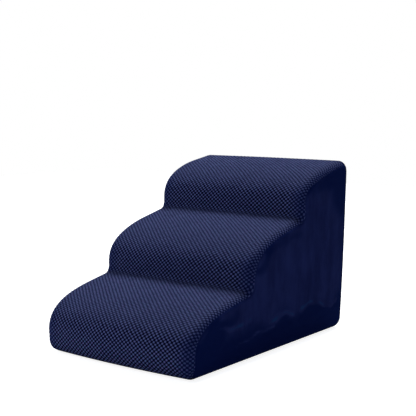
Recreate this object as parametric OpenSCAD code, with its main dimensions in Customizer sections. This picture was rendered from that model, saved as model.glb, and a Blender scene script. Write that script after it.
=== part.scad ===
// Pet stairs: three rounded steps cut from foam, in a liner and a sewn cover that zips off.
// X runs across the steps, Y from the front to the back and Z up from the floor.
// The origin is the middle of the base. Lengths are in millimetres.

/* [Overall size] */
// Width across the steps
stair_w = 400; // [340:10:500]
// Length from the foot of the first step to the back
stair_l = 600; // [560:10:700]
// Height of the back edge of the top step
stair_h = 400; // [385:5:450]

/* [Steps] */
// Height of the rounded nose, below the line of the tread
nose_h = 66; // [52:2:68]
// Length of the rounded nose, back from the riser
nose_l = 132; // [112:2:140]
// Radius of the hollow between a tread and the next riser
notch_r = 16; // [10:1:18]
// Radius of the bottom edges and of the top back edge
corner_r = 26; // [14:1:30]

/* [Edges and crown] */
// Rounding between the steps and the sides
edge_r = 18; // [14:1:24]
// Rounding between the base and the sides
base_edge_r = 18; // [12:1:22]
// How far the foot of the cover is drawn in
foot_tuck = 7; // [0:1:9]
// Height over which the foot is drawn in
tuck_h = 400; // [300:20:400]
// How far the front bows out at mid width
front_crown = 9; // [0:1:12]
// How far the treads rise at mid width
tread_crown = 2; // [0:0.5:4]
// How far each side swells
side_crown = 2; // [0:0.5:4]

/* [Cloth] */
// Thickness of the cover cloth
cover_t = 1.6; // [1:0.1:2.4]
// Thickness of the liner cloth
liner_t = 0.6; // [0.4:0.1:1]
// Air between one layer and the next
layer_gap = 0.3; // [0.2:0.05:0.5]

/* [Grip dots] */
// Radius of a grip dot
dot_r = 4; // [2:0.5:6]
// Height of a grip dot
dot_h = 1; // [0.6:0.1:1.6]
// Distance between grip dots
dot_pitch = 50; // [40:2:60]

/* [Zipper] */
// Height of the zipper above the base
zip_z = 72; // [66:2:120]
// Distance from each end of the toothed chain to the rounding of the side
zip_margin = 24; // [12:1:60]
// Width of the gap between the two back panels
slit_w = 12; // [11:0.5:14]
// Width of one tape
tape_w = 14; // [10:1:14]
// Thickness of the tape
tape_t = 0.6; // [0.4:0.1:0.8]
// Distance from one tooth to the next on a tape
tooth_pitch = 3; // [3:0.25:4]
// Width of a tooth along the chain
tooth_w = 1.2; // [0.8:0.1:1.3]
// Thickness of a tooth through the chain
tooth_t = 2.4; // [1.8:0.1:2.8]
// Reach of a tooth from the middle line back to its tape
tooth_back = 3.1; // [2.8:0.1:3.3]
// Reach of a tooth past the middle line
tooth_front = 0.9; // [0.6:0.1:1.2]

/* [Slider and pull tab] */
// Length of the slider
slider_l = 10; // [9:0.5:12]
// Thickness of each slider plate
plate_t = 0.9; // [0.7:0.1:1.1]
// Thickness of the slider's side rails
rail_w = 0.95; // [0.7:0.05:1.1]
// Width of the slider's bridge
bridge_w = 3; // [2.2:0.2:3.4]
// Half the length of the slider's bridge
bridge_half = 3.2; // [2.8:0.1:3.6]
// Thickness of the bridge's legs and top
bridge_t = 0.8; // [0.6:0.1:1]
// Length of the pull tab
tab_l = 26; // [20:1:30]
// Width of the pull tab
tab_w = 7; // [6.6:0.2:8]
// Thickness of the pull tab
tab_t = 1.2; // [1:0.1:1.3]
// Radius of the hole at the end of the pull tab
tab_hole_r = 1.6; // [1:0.1:2]

/* [Hidden] */

jacquard_blue = [0.16, 0.18, 0.36];
velvet_blue = [0.07, 0.09, 0.24];

// Where each riser stands, as shares of the length
riser_y_shares = [0, 0.3275, 0.66];
// Height at which each tread's line meets its own riser and the next one, as shares of the height
tread_front_shares = [0.275, 0.579, 0.914];
tread_back_shares = [0.37, 0.696, 1];
// How full the rounded nose is, as a share of the way to the corner
nose_full_share = 0.7;

// Angles into the side rounding at which the cover's seam lies
seam_tread_deg = 60;
seam_riser_deg = 80;
// A seam turns to the riser's angle as the surface turns to face the front
seam_turn = 1.5;
// Smallest radius left where an inner layer turns a corner
inner_corner_r = 1.5;

// Steps that the surfaces are cut into
arc_steps = 3;
front_steps = 2;
nose_steps = 6;
tread_steps = 2;
base_steps = 8;

front_n = arc_steps + front_steps + nose_steps;
top_n = 2 * (tread_steps + arc_steps + 1 + nose_steps) + tread_steps;
// The back has the front's count of points: two arcs, the slit's edges, the tape's foot and the rest
back_n = front_n;
back_steps = back_n - 2 * arc_steps - 4;

// Depths below the cover's outer face
liner_d = cover_t + layer_gap;
foam_d = liner_d + liner_t + layer_gap;

// The slider's channel and the room that its inner plate needs behind the chain
slider_gap = 0.25;
channel_h = tooth_t + 2 * slider_gap;
chain_d = cover_t + layer_gap + tape_t / 2;
zip_room = chain_d + channel_h / 2 + plate_t + layer_gap - liner_d;

// A point of the outline holds a corner or a point, its normal, the two directions in which
// its two faces move inwards, its corner radius, the side rounding of each face and of X, and
// the normals of the two faces
function plain(p, n, r) = [p, n, n, [0, 0], 0, r, 0, r, n, n];
function unit(v) = v / norm(v);
function lerp(a, b, t) = a + (b - a) * t;
function turn(deg) = [cos(deg), sin(deg)];
function dual(a, b) = (a - (a * b) * b) / (1 - pow(a * b, 2));

function corner(v, na, nb, ra, rb, deg_a, deg_b) = [
    for (i = [0 : arc_steps])
        let (t = i / arc_steps)
        [
            v, turn(lerp(deg_a, deg_b, t)), dual(na, nb), dual(nb, na), corner_r,
            ra, rb, lerp(ra, rb, t), na, nb
        ]
];

// One step: the foot of its riser's line, the corner that its nose rounds, and its tread's line
function riser_y(k) = stair_l * riser_y_shares[k];
function next_y(k) = k < 2 ? riser_y(k + 1) : stair_l;
function nose_corner(k) = [riser_y(k), stair_h * tread_front_shares[k]];
function tread_end(k) = [next_y(k), stair_h * tread_back_shares[k]];
function tread_dir(k) = unit(tread_end(k) - nose_corner(k));
function tread_normal(k) = [-tread_dir(k)[1], tread_dir(k)[0]];
function tread_deg(k) = atan2(tread_normal(k)[1], tread_normal(k)[0]);

function bezier(a, b, c, d, t) =
    pow(1 - t, 3) * a + 3 * pow(1 - t, 2) * t * b + 3 * (1 - t) * t * t * c + pow(t, 3) * d;
function bezier_dir(a, b, c, d, t) =
    pow(1 - t, 2) * (b - a) + 2 * (1 - t) * t * (c - b) + t * t * (d - c);

function nose(k) =
    let (
        c = nose_corner(k),
        a = c - [0, nose_h],
        d = c + tread_dir(k) * nose_l,
        b = lerp(a, c, nose_full_share),
        e = lerp(d, c, nose_full_share)
    )
    [
        for (i = [0 : nose_steps])
            let (t = i / nose_steps, g = unit(bezier_dir(a, b, e, d, t)))
            plain(bezier(a, b, e, d, t), [-g[1], g[0]], edge_r)
    ];

// The hollow at the foot of the next riser, from the tread to the riser
function notch_cut(k) = notch_r * tan((180 - tread_deg(k)) / 2);
function notch(k) =
    let (start = tread_end(k) - tread_dir(k) * notch_cut(k), c = start + tread_normal(k) * notch_r)
    [
        for (i = [0 : arc_steps])
            let (n = turn(lerp(tread_deg(k), 180, i / arc_steps)))
            plain(c - n * notch_r, n, edge_r)
    ];

function between(a, b, n, normal, r) = [
    for (i = [1 : n - 1]) plain(lerp(a, b, i / n), normal, r)
];

function nose_end(k) = nose_corner(k) + tread_dir(k) * nose_l;

// The four edges of the outline, each from its own first corner
front_edge = concat(
    corner([0, 0], [0, -1], [-1, 0], base_edge_r, edge_r, 270, 180),
    between([0, corner_r], nose_corner(0) - [0, nose_h], front_steps, [-1, 0], edge_r),
    nose(0)
);
top_edge = concat(
    [for (k = [0, 1]) each concat(
        between(nose_end(k), notch(k)[0][0], tread_steps, tread_normal(k), edge_r),
        notch(k),
        nose(k + 1)
    )],
    between(nose_end(2), tread_end(2), tread_steps, tread_normal(2), edge_r)
);
back_corner = corner(tread_end(2), tread_normal(2), [1, 0], edge_r, edge_r, tread_deg(2), 0);
// The back stays flat down to the foot of the lower tape
tape_foot_z = zip_z - tooth_back - tape_w - layer_gap;
back_straight = concat(
    [for (i = [1 : back_steps])
        plain([stair_l, lerp(stair_h - corner_r, zip_z, i / (back_steps + 1))], [1, 0], edge_r)],
    [for (z = [zip_z + slit_w / 2, zip_z - slit_w / 2, tape_foot_z]) plain([stair_l, z], [1, 0], edge_r)]
);
foot_corner = corner([stair_l, 0], [1, 0], [0, -1], edge_r, base_edge_r, 0, -90);
base_edge = [
    for (i = [1 : base_steps - 1])
        plain([lerp(stair_l, 0, i / base_steps), 0], [0, -1], base_edge_r)
];
outline = concat(front_edge, top_edge, back_corner, back_straight, foot_corner, base_edge);
outline_n = len(outline);

// Places along the outline
top_at = front_n;
back_at = front_n + top_n;
foot_at = back_at + back_n;
base_seam_front = 1;
tread_seam_back = back_at + 1;
slit_top = back_at + arc_steps + back_steps + 1;
slit_bottom = slit_top + 1;
base_seam_back = foot_at - 1;

// The seam lies deeper in the rounding where a face looks to the front
function seam_deg(v) =
    lerp(seam_tread_deg, seam_riser_deg, pow(max(0, -v[8][0], -v[9][0]), seam_turn));

// How far a face has moved inwards at an angle of its rounding and a depth
function inset(r, deg, d) = r - (r - d) * cos(deg);

// The inner layers stand back from the back panels by room, for the zipper
function behind(normal, room) = room * max(0, normal[0]);

function flat_point(v, deg, d, room = 0) =
    let (
        sa = inset(v[5], deg, d) + behind(v[8], room),
        sb = inset(v[6], deg, d) + behind(v[9], room),
        re = v[4] > 0 ? max(inner_corner_r, v[4] - max(sa, sb)) : 0
    )
    v[0] - (sa + re) * v[2] - (sb + re) * v[3] + re * v[1];

// The sewn cover is drawn in towards its foot and swells where it is filled; the back stays flat
function relax(p) =
    let (
        u = p[0] / (stair_w / 2),
        v = p[1] / (stair_l / 2),
        tuck = pow(max(0, 1 - p[2] / tuck_h), 2) * foot_tuck,
        rise = min(1, p[2] / corner_r) * (1 - pow(max(0, v), 8)),
        middle = stair_h / 3,
        swell = max(0, 1 - pow(v, 4)) * max(0, 1 - pow(p[2] / middle - 1, 2))
    )
    [
        p[0] * (1 - tuck / (stair_w / 2)) + sign(u) * pow(abs(u), 4) * swell * side_crown,
        p[1] + (tuck - front_crown * (1 - u * u)) * (1 - v) / 2,
        p[2] + tread_crown * (1 - u * u) * rise + dot_h
    ];

// A place on the cover: across by share a, and turned into the side rounding by an angle
function place(v, a, deg, d, room) =
    let (q = flat_point(v, deg, d, room))
    relax([
        a * (stair_w / 2 - v[7]) + sign(a) * (v[7] - d) * sin(deg),
        q[0] - stair_l / 2,
        q[1]
    ]);

// Stations across the width: the share across, the share of the way to the seam, and the
// share of the way from the seam to the flat of the side
left_round = [for (i = [4 : -1 : 1]) [-1, i / 4, 0]];
right_round = [for (i = [1 : 4]) [1, i / 4, 0]];
flat_stations = [for (a = [-1 : 0.5 : 1]) [a, 0, 0]];
cover_stations = concat(left_round, flat_stations, right_round);
liner_stations = [[-1, 1, 0], [-1, 0.5, 0], [-1, 0, 0], [0, 0, 0], [1, 0, 0], [1, 0.5, 0], [1, 1, 0]];
foam_stations = concat([[-1, 1, 1]], liner_stations, [[1, 1, 1]]);

function row(v, stations, d, room) = [
    for (s = stations)
        let (seam = seam_deg(v))
        place(v, s[0], lerp(s[1] * seam, 90, s[2]), d, room)
];
function skin(points, stations, d, room) = [for (v = points) each row(v, stations, d, room)];

function quad(a, b, c, e) = [[a, b, c], [a, c, e]];
// The same faces seen from behind
function flip(faces) = [for (f = faces) [f[0], f[2], f[1]]];

// Cells of a grid of n rows and m columns; the first few columns of cells, on the left, are
// split the other way, so that both sides are alike
function grid_faces(n, m, base, closed, left_cells = 0) = [
    for (i = [0 : n - (closed ? 1 : 2)], j = [0 : m - 2])
        let (a = base + i * m + j, b = base + ((i + 1) % n) * m + j)
        each j < left_cells ? quad(b, b + 1, a + 1, a) : quad(a, b, b + 1, a + 1)
];
function left_cells(stations) = len([for (s = stations) if (s[0] < 0) s]);

// Faces that join an outer line of points to an inner one, as long as both turn alike
function rim(outer, inner, closed) =
    let (n = len(outer))
    [
        for (i = [0 : n - (closed ? 1 : 2)])
            let (k = (i + 1) % n)
            each [[outer[i], outer[k], inner[k]], [outer[i], inner[k], inner[i]]]
    ];

// A strip of cloth over some points of the outline, between two depths
module strip(points, stations, d, t, room = 0) {
    n = len(points);
    m = len(stations);
    inner = n * m;
    first = [for (j = [0 : m - 1]) j];
    last = [for (j = [0 : m - 1]) (n - 1) * m + j];
    left = [for (i = [0 : n - 1]) i * m];
    right = [for (i = [0 : n - 1]) i * m + m - 1];
    function under(line) = [for (p = line) p + inner];
    polyhedron(
        points = concat(skin(points, stations, d, room), skin(points, stations, d + t, room)),
        faces = concat(
            grid_faces(n, m, 0, false, left_cells(stations)),
            flip(grid_faces(n, m, inner, false, left_cells(stations))),
            rim(first, under(first), false),
            flip(rim(last, under(last), false)),
            flip(rim(left, under(left), false)),
            rim(right, under(right), false)
        ),
        convexity = 6
    );
}

// A tube of cloth all round the outline, between two depths
module tube(stations, d, t, room) {
    n = outline_n;
    m = len(stations);
    inner = n * m;
    left = [for (i = [0 : n - 1]) i * m];
    right = [for (i = [0 : n - 1]) i * m + m - 1];
    function under(line) = [for (p = line) p + inner];
    polyhedron(
        points = concat(skin(outline, stations, d, room), skin(outline, stations, d + t, room)),
        faces = concat(
            grid_faces(n, m, 0, true, left_cells(stations)),
            flip(grid_faces(n, m, inner, true, left_cells(stations))),
            flip(rim(left, under(left), true)),
            rim(right, under(right), true)
        ),
        convexity = 6
    );
}

// The flat of a side is a grid of columns from the bottom line up to the steps, with the
// outline's points on its edge. The columns lean back a little below each riser, so that no
// cell folds over, and the rows follow the front and the back edges near them.
edge_columns = 5;
lean_share = 0.06;
function side_point(i) = flat_point(outline[i % outline_n], 90, 0);
function column_foot(i) =
    let (
        first = tread_steps + arc_steps,
        second = first + 1 + nose_steps + tread_steps + arc_steps,
        lean = lean_share * stair_l,
        y0 = side_point(0)[0],
        y1 = side_point(top_at + first)[0] + lean,
        y2 = side_point(top_at + second)[0] + lean,
        y3 = side_point(foot_at)[0],
        y = i <= first ? lerp(y0, y1, i / first)
          : i <= second ? lerp(y1, y2, (i - first) / (second - first))
          : lerp(y2, y3, (i - second) / (top_n - second))
    )
    [y, side_point(0)[1]];
function cell_point(j, i) =
    let (
        t = j / front_n,
        p = lerp(column_foot(i), side_point(top_at + i), t),
        p_front = lerp(column_foot(0), side_point(top_at), t),
        p_back = lerp(column_foot(top_n), side_point(back_at), t),
        near_front = pow(max(0, 1 - i / edge_columns), 2),
        near_back = pow(max(0, 1 - (top_n - i) / edge_columns), 2)
    )
    p + near_front * (side_point(j) - p_front) + near_back * (side_point(foot_at - j) - p_back);

// A node of the grid is a point of the outline on the edge, or a point of its own inside
function cell_id(j, i, edge, inside) =
    i == 0 ? edge(j) : i == top_n ? edge(foot_at - j) : j == front_n ? edge(top_at + i)
    : inside + (j - 1) * (top_n - 1) + i - 1;

// Triangles between two lines of [number, place], each in order of place
function stitch(a, b, i = 0, j = 0) =
    i == len(a) - 1 && j == len(b) - 1 ? []
    : j == len(b) - 1 || (i < len(a) - 1 && a[i + 1][1] < b[j + 1][1])
        ? concat([[a[i][0], b[j][0], a[i + 1][0]]], stitch(a, b, i + 1, j))
        : concat([[a[i][0], b[j][0], b[j + 1][0]]], stitch(a, b, i, j + 1));

function side_faces(edge, inside) =
    let (
        id = function(j, i) cell_id(j, i, edge, inside),
        low = [for (i = [0 : base_steps])
            let (k = foot_at + base_steps - i)
            [edge(i == 0 ? 0 : k), side_point(i == 0 ? 0 : k)[0]]],
        high = [for (i = [0 : top_n])
            [id(1, i), i == 0 ? side_point(1)[0] : i == top_n ? side_point(foot_at - 1)[0]
                : cell_point(1, i)[0]]]
    )
    concat(
        stitch(low, high),
        [for (j = [1 : front_n - 1], i = [0 : top_n - 1])
            each quad(id(j, i), id(j + 1, i), id(j + 1, i + 1), id(j, i + 1))]
    );

function side_inside(x, d) = [
    for (j = [1 : front_n - 1], i = [1 : top_n - 1])
        let (q = cell_point(j, i))
        relax([x * (stair_w / 2 - d), q[0] - stair_l / 2, q[1]])
];

// A side of cloth, from the seam to the flat, between two depths; s is -1 on the left
module side(s, rings, d, t, room = 0) {
    n = outline_n;
    m = rings + 1;
    stations = [for (i = [0 : rings]) [s, 1, i / rings]];
    inside_n = (front_n - 1) * (top_n - 1);
    inner = n * m + inside_n;
    seam_out = [for (i = [0 : n - 1]) i * m];
    seam_in = [for (i = [0 : n - 1]) inner + i * m];
    out = concat(
        grid_faces(n, m, 0, true),
        side_faces(function(i) (i % n) * m + rings, n * m)
    );
    in = [for (f = out) [f[0] + inner, f[2] + inner, f[1] + inner]];
    faces = concat(out, in, flip(rim(seam_out, seam_in, true)));
    polyhedron(
        points = concat(
            skin(outline, stations, d, room), side_inside(s, d),
            skin(outline, stations, d + t, room), side_inside(s, d + t)
        ),
        faces = s > 0 ? faces : flip(faces),
        convexity = 6
    );
}

// One block of foam, cut through to the outline of the steps and rounded along both sides
module foam_core() {
    n = outline_n;
    m = len(foam_stations);
    inside_n = (front_n - 1) * (top_n - 1);
    left = n * m;
    right = left + inside_n;
    color("gainsboro")
        polyhedron(
            points = concat(
                skin(outline, foam_stations, foam_d, zip_room),
                side_inside(-1, foam_d),
                side_inside(1, foam_d)
            ),
            faces = concat(
                grid_faces(n, m, 0, true, left_cells(foam_stations)),
                flip(side_faces(function(i) (i % n) * m, left)),
                side_faces(function(i) (i % n) * m + m - 1, right)
            ),
            convexity = 6
        );
}

module liner_wrap() { color("white") tube(liner_stations, liner_d, liner_t, zip_room); }
module liner_side_left() { color("white") side(-1, 1, liner_d, liner_t, zip_room); }
module liner_side_right() { color("white") side(1, 1, liner_d, liner_t, zip_room); }

function stretch_of(first, last) = [for (i = [first : last]) outline[i % outline_n]];

module tread_panel() {
    color(jacquard_blue)
        strip(stretch_of(base_seam_front, tread_seam_back), cover_stations, 0, cover_t);
}
module side_panel_left() { color(velvet_blue) side(-1, 2, 0, cover_t); }
module side_panel_right() { color(velvet_blue) side(1, 2, 0, cover_t); }
module back_panel_upper() {
    color(velvet_blue) strip(stretch_of(tread_seam_back, slit_top), cover_stations, 0, cover_t);
}

module back_panel_lower() {
    color(velvet_blue) strip(stretch_of(slit_bottom, base_seam_back), cover_stations, 0, cover_t);
}

// A tab of the back's cloth closes the slit beside each end of the zipper
module end_tab(stations) {
    color(velvet_blue) strip(stretch_of(slit_top, slit_bottom), stations, 0, cover_t);
}
module zipper_end_tab_left() { end_tab(concat(left_round, [flat_stations[0]])); }
module zipper_end_tab_right() { end_tab(concat([flat_stations[4]], right_round)); }
module base_panel() {
    color([0.1, 0.1, 0.13])
        strip(stretch_of(base_seam_back, outline_n + base_seam_front), cover_stations, 0, cover_t);
}

// Grip dots cover the flat of the base, with one at its middle
module grip_dots() {
    edge = base_edge_r + foot_tuck + 2 * dot_r;
    nx = floor((stair_w / 2 - edge) / dot_pitch);
    ny = floor((stair_l / 2 - edge) / dot_pitch);
    color([0.2, 0.2, 0.24])
        for (i = [-nx : nx], j = [-ny : ny])
            translate([i * dot_pitch, j * dot_pitch, 0]) cylinder(r = dot_r, h = dot_h, $fn = 12);
}

// The zipper lies along X behind the gap of the back panels. Its own frame has its origin in
// the middle of the chain, Y pointing out of the back and Z up.
chain_y = stair_l / 2 - chain_d;
chain_z = zip_z + dot_h;
tape_l = 2 * relax([stair_w / 2 - edge_r, stair_l / 2, zip_z])[0];
chain_n = floor((tape_l - 2 * zip_margin) / tooth_pitch);
chain_l = chain_n * tooth_pitch;
module at_zipper() { translate([0, chain_y, chain_z]) children(); }

module tape(s) {
    color([0.06, 0.07, 0.16])
        at_zipper()
            translate([-tape_l / 2, -tape_t / 2, s > 0 ? tooth_back : -tooth_back - tape_w])
                cube([tape_l, tape_t, tape_w]);
}
module zipper_tape_upper() { tape(1); }
module zipper_tape_lower() { tape(-1); }

teeth_n = chain_n - 1;
module teeth(s, shift) {
    tooth_l = tooth_back + tooth_front;
    color([0.12, 0.14, 0.26])
        at_zipper()
            for (i = [0 : teeth_n - 1])
                translate([
                    -chain_l / 2 + i * tooth_pitch + shift,
                    -tooth_t / 2,
                    s > 0 ? -tooth_front : -tooth_back
                ])
                    cube([tooth_w, tooth_t, tooth_l]);
}
module zipper_teeth_upper() { teeth(1, 0); }
module zipper_teeth_lower() { teeth(-1, tooth_pitch / 2); }

// The bottom stop joins both tapes; a top stop ends each of them
stop_l = 4;
stop_gap = 0.3;
stop_depth = 1.8;
module zipper_bottom_stop() {
    color("silver")
        at_zipper()
            translate([-chain_l / 2 - stop_gap - stop_l, -tooth_t / 2, -tooth_back])
                cube([stop_l, tooth_t, 2 * tooth_back]);
}
module zipper_top_stops() {
    color("silver")
        at_zipper()
            for (s = [-1, 1])
                translate([
                    chain_l / 2 + slider_l / 2 + stop_gap,
                    -tooth_t / 2,
                    s > 0 ? tooth_back - stop_depth : -tooth_back
                ])
                    cube([stop_l / 2, tooth_t, stop_depth]);
}

// The slider rests at the closed end, with its own origin in the middle of the chain
rail_z = tooth_back + slider_gap;
slider_half = rail_z + rail_w;
slider_tail_share = 0.9;
slider_bend_share = 0.1;
plate_out = channel_h / 2 + plate_t;
divider_l_share = 0.4;
divider_peak_share = 0.4;
divider_l = slider_l * divider_l_share;
divider_half = tooth_front;
bar_r = tab_t / 2;
bar_y = plate_out + slider_gap + bar_r;
bridge_under = 2 * bar_r + 2 * slider_gap;
module at_slider() { at_zipper() translate([chain_l / 2, 0, 0]) children(); }

// Outline of the slider seen from behind, wide at its mouth and narrower at its tail
module slider_outline() {
    tail = slider_half * slider_tail_share;
    bend = slider_l * slider_bend_share;
    polygon([
        [slider_l / 2, -slider_half + plate_t], [slider_l / 2, slider_half - plate_t],
        [slider_l / 2 - plate_t, slider_half], [bend, slider_half],
        [-bend * 2, tail], [-slider_l / 2 + plate_t, tail],
        [-slider_l / 2, tail - plate_t], [-slider_l / 2, -tail + plate_t],
        [-slider_l / 2 + plate_t, -tail], [-bend * 2, -tail],
        [bend, -slider_half], [slider_l / 2 - plate_t, -slider_half]
    ]);
}

// A slab in the plane of the zipper, between two heights out of it
module slab_out(from, to) {
    translate([0, to, 0]) rotate([90, 0, 0]) linear_extrude(height = to - from) children();
}

module zipper_slider() {
    slot_half = tape_t / 2 + slider_gap / 2;
    tail_rail_z = tooth_back + slider_gap / 2;
    color("silver")
        at_slider() {
            for (s = [-1, 1]) {
                slab_out(s > 0 ? channel_h / 2 : -plate_out, s > 0 ? plate_out : -channel_h / 2)
                    slider_outline();
                slab_out(s > 0 ? slot_half : -plate_out, s > 0 ? plate_out : -slot_half)
                    difference() {
                        slider_outline();
                        square([2 * slider_l, 2 * tail_rail_z], center = true);
                    }
            }
            slab_out(-plate_out, plate_out)
                polygon([
                    [slider_l / 2, 0], [slider_l / 2 - divider_l * divider_peak_share, divider_half],
                    [slider_l / 2 - divider_l, 0], [slider_l / 2 - divider_l * divider_peak_share, -divider_half]
                ]);
            translate([0, 0, -bridge_w / 2])
                linear_extrude(height = bridge_w)
                    difference() {
                        translate([-bridge_half, plate_out - plate_t / 2])
                            square([2 * bridge_half, plate_t / 2 + bridge_under + bridge_t]);
                        translate([-bridge_half + bridge_t, plate_out])
                            square([2 * (bridge_half - bridge_t), bridge_under]);
                    }
        }
}

// The pull tab hangs by a round bar under the slider's bridge, with an eye that clears it
eye_gap = 0.35;
module zipper_pull_tab() {
    eye_w = bridge_w + 2 * eye_gap;
    bridge_top = plate_out + bridge_under + bridge_t - bar_y;
    eye_l = norm([bridge_half, bridge_top]) + eye_gap;
    color("silver")
        at_slider()
            translate([0, bar_y, 0]) {
                translate([0, 0, -tab_w / 2]) cylinder(r = bar_r, h = tab_w, $fn = 48);
                slab_out(-tab_t / 2, tab_t / 2)
                    difference() {
                        union() {
                            translate([-tab_l + tab_w / 2, -tab_w / 2])
                                square([tab_l - tab_w / 2, tab_w]);
                            translate([-tab_l + tab_w / 2, 0]) circle(r = tab_w / 2, $fn = 64);
                        }
                        translate([-eye_l, -eye_w / 2]) square([eye_l * 2, eye_w]);
                        translate([-tab_l + tab_w / 2, 0]) circle(r = tab_hole_r, $fn = 48);
                    }
            }
}

foam_core();
liner_wrap();
liner_side_left();
liner_side_right();
tread_panel();
side_panel_left();
side_panel_right();
back_panel_upper();
back_panel_lower();
base_panel();
grip_dots();
zipper_end_tab_left();
zipper_end_tab_right();
zipper_tape_upper();
zipper_tape_lower();
zipper_teeth_upper();
zipper_teeth_lower();
zipper_bottom_stop();
zipper_top_stops();
zipper_slider();
zipper_pull_tab();
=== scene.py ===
"""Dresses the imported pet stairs: sewn cover panels over the foam, zipper, floor, light and camera.

X runs across the steps, Y from the front to the back and Z up, in metres.
"""

import math

import bpy
import numpy as np
from mathutils import Matrix, Vector
from mathutils.geometry import delaunay_2d_cdt


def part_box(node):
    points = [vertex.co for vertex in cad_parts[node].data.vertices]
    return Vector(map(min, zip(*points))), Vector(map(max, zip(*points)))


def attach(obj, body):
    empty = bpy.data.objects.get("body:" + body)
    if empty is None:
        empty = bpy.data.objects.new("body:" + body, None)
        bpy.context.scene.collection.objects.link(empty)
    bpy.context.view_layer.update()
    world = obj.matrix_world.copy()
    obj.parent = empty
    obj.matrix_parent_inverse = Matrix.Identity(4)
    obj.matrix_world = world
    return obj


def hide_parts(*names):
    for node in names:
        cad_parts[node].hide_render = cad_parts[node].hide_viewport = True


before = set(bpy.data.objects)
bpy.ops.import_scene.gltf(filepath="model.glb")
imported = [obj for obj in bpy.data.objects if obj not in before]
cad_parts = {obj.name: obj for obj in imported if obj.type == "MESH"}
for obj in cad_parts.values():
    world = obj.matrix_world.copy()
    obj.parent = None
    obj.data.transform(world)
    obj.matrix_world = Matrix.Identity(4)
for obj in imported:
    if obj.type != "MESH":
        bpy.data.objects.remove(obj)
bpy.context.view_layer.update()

# Sizes that the part's source has too
STAIR_W, STAIR_L, STAIR_H = 0.4, 0.6, 0.4
NOSE_H, NOSE_L, NOSE_FULL = 0.066, 0.132, 0.7
NOTCH_R, CORNER_R, EDGE_R, BASE_EDGE_R = 0.016, 0.026, 0.018, 0.018
FOOT_TUCK, TUCK_H = 0.007, 0.4
FRONT_CROWN, TREAD_CROWN, SIDE_CROWN = 0.009, 0.002, 0.002
COVER_T = 0.0016
DOT_R, DOT_H, DOT_PITCH = 0.004, 0.001, 0.05
ZIP_Z, SLIT_W = 0.072, 0.012
RISER_Y = [0, 0.3275 * STAIR_L, 0.66 * STAIR_L]
TREAD_FRONT_Z = [0.275 * STAIR_H, 0.579 * STAIR_H, 0.914 * STAIR_H]
TREAD_BACK_Z = [0.37 * STAIR_H, 0.696 * STAIR_H, STAIR_H]
SEAM_TREAD, SEAM_RISER, SEAM_TURN = math.radians(60), math.radians(80), 1.5
INNER_CORNER_R = 0.0015

# Below, the seam lies nearly under the base, and it climbs to the front and the back over this length
SEAM_BASE, SEAM_RAMP = math.radians(28), 0.042
# Where the seams across the stairs lie, as shares of their rounded corners
FRONT_SEAM_SHARE, TOP_SEAM_SHARE, FOOT_SEAM_SHARE = 1 / 3, 0.12, 2 / 3
# Rows and columns of the cover's meshes
ROW_STEP, TUFT_COLUMNS, PLAIN_COLUMNS, TAB_COLUMNS = 0.00225, 205, 121, 11
# Cells inside a side, how near their points may come to its rings, and the number of rings
SIDE_CELL, SIDE_CELL_LEAST, RINGS = 0.004, 0.0024, 9
# Points of a side's mesh that lie nearer than this count as one
SAME_POINT = 1e-7

# The tread cloth's tufts and pits lie where two slanting waves meet, given in waves per metre of cloth
SLANTS = [(93.0, 107.0), (99.0, -120.0)]
PIT_DEPTH, TUFT_HEIGHT = 0.0008, 0.0005
# A seam is a soft, slightly puckered groove, and its allowance goes on below
GROOVE_DEPTH, GROOVE_WIDTH, PUCKER, PUCKER_L = 0.0009, 0.0026, 0.35, 0.014
# The puckers come early and late by this much of their phase, in waves of this share of their rate
PUCKER_DRIFT, DRIFT_SHARE = 2, 0.23
SEAM_ROLL = [(0.0002, 0.0007)]
# The relief fades out over these distances from a seam
TUFT_FADE, SWELL_FADE = 0.003, 0.03
# Cloth turned under at the zipper: round its own thickness and flat below
HEM_L, HEM_FLAT, HEM_GAP = 0.0085, 0.006, 0.0001
HEM_ROLL = [
    (COVER_T / 2 * math.sin(x), COVER_T / 2 * (1 - math.cos(x))) for x in np.linspace(0.5, math.pi, 6)
] + [(-HEM_FLAT, COVER_T - HEM_GAP)]
# The woven bead along the inner edge of a zipper tape, and its gap to the chain's stops
TAPE_BEAD_R, STOP_GAP = 0.0007, 0.0002
# How far the edges of the metal and the teeth are worn round
WORN_EDGE = 0.00018
# Rows of stitches lie this far from the hems and from the sides' rounding
STITCH_INSET = 0.004


# The outline of the steps, as the part's source has it, in finer steps


def unit(v):
    return v / np.linalg.norm(v)


def turn(angle):
    return np.stack([np.cos(angle), np.sin(angle)], -1)


def smoothstep(a, b, x):
    t = np.clip((x - a) / (b - a), 0, 1)
    return t * t * (3 - 2 * t)


def dual(a, b):
    """For unit vectors: the direction that goes 1 along a and 0 along b."""
    return (a - (a @ b) * b) / (1 - (a @ b) ** 2)


def plain(points, normals, r):
    """Outline records: corner or point, normal, two directions outwards, corner radius, the rounding
    of both faces and of X, and the normals of both faces."""
    n = len(points)
    normals = np.broadcast_to(normals, (n, 2))
    rest = np.broadcast_to([0, 0, 0, r, 0, r], (n, 6))
    return np.hstack([points, normals, normals, rest, normals, normals])


def corner(v, na, nb, ra, rb, angle_a, angle_b, steps=18):
    """Records round a corner between two faces, with their normals, side roundings and angles."""
    rows = [
        np.hstack([
            v, turn(angle_a + (angle_b - angle_a) * t), dual(na, nb), dual(nb, na),
            CORNER_R, ra, rb, ra + (rb - ra) * t, na, nb,
        ])
        for t in np.linspace(0, 1, steps + 1)
    ]
    return np.array(rows)


def straight(a, b, normal, r, step=0.002):
    """Records from a to b, without the two ends."""
    a, b = np.array(a, float), np.array(b, float)
    n = max(2, math.ceil(np.linalg.norm(b - a) / step))
    t = np.linspace(0, 1, n + 1)[1:-1, None]
    return plain(a + (b - a) * t, normal, r)


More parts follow.
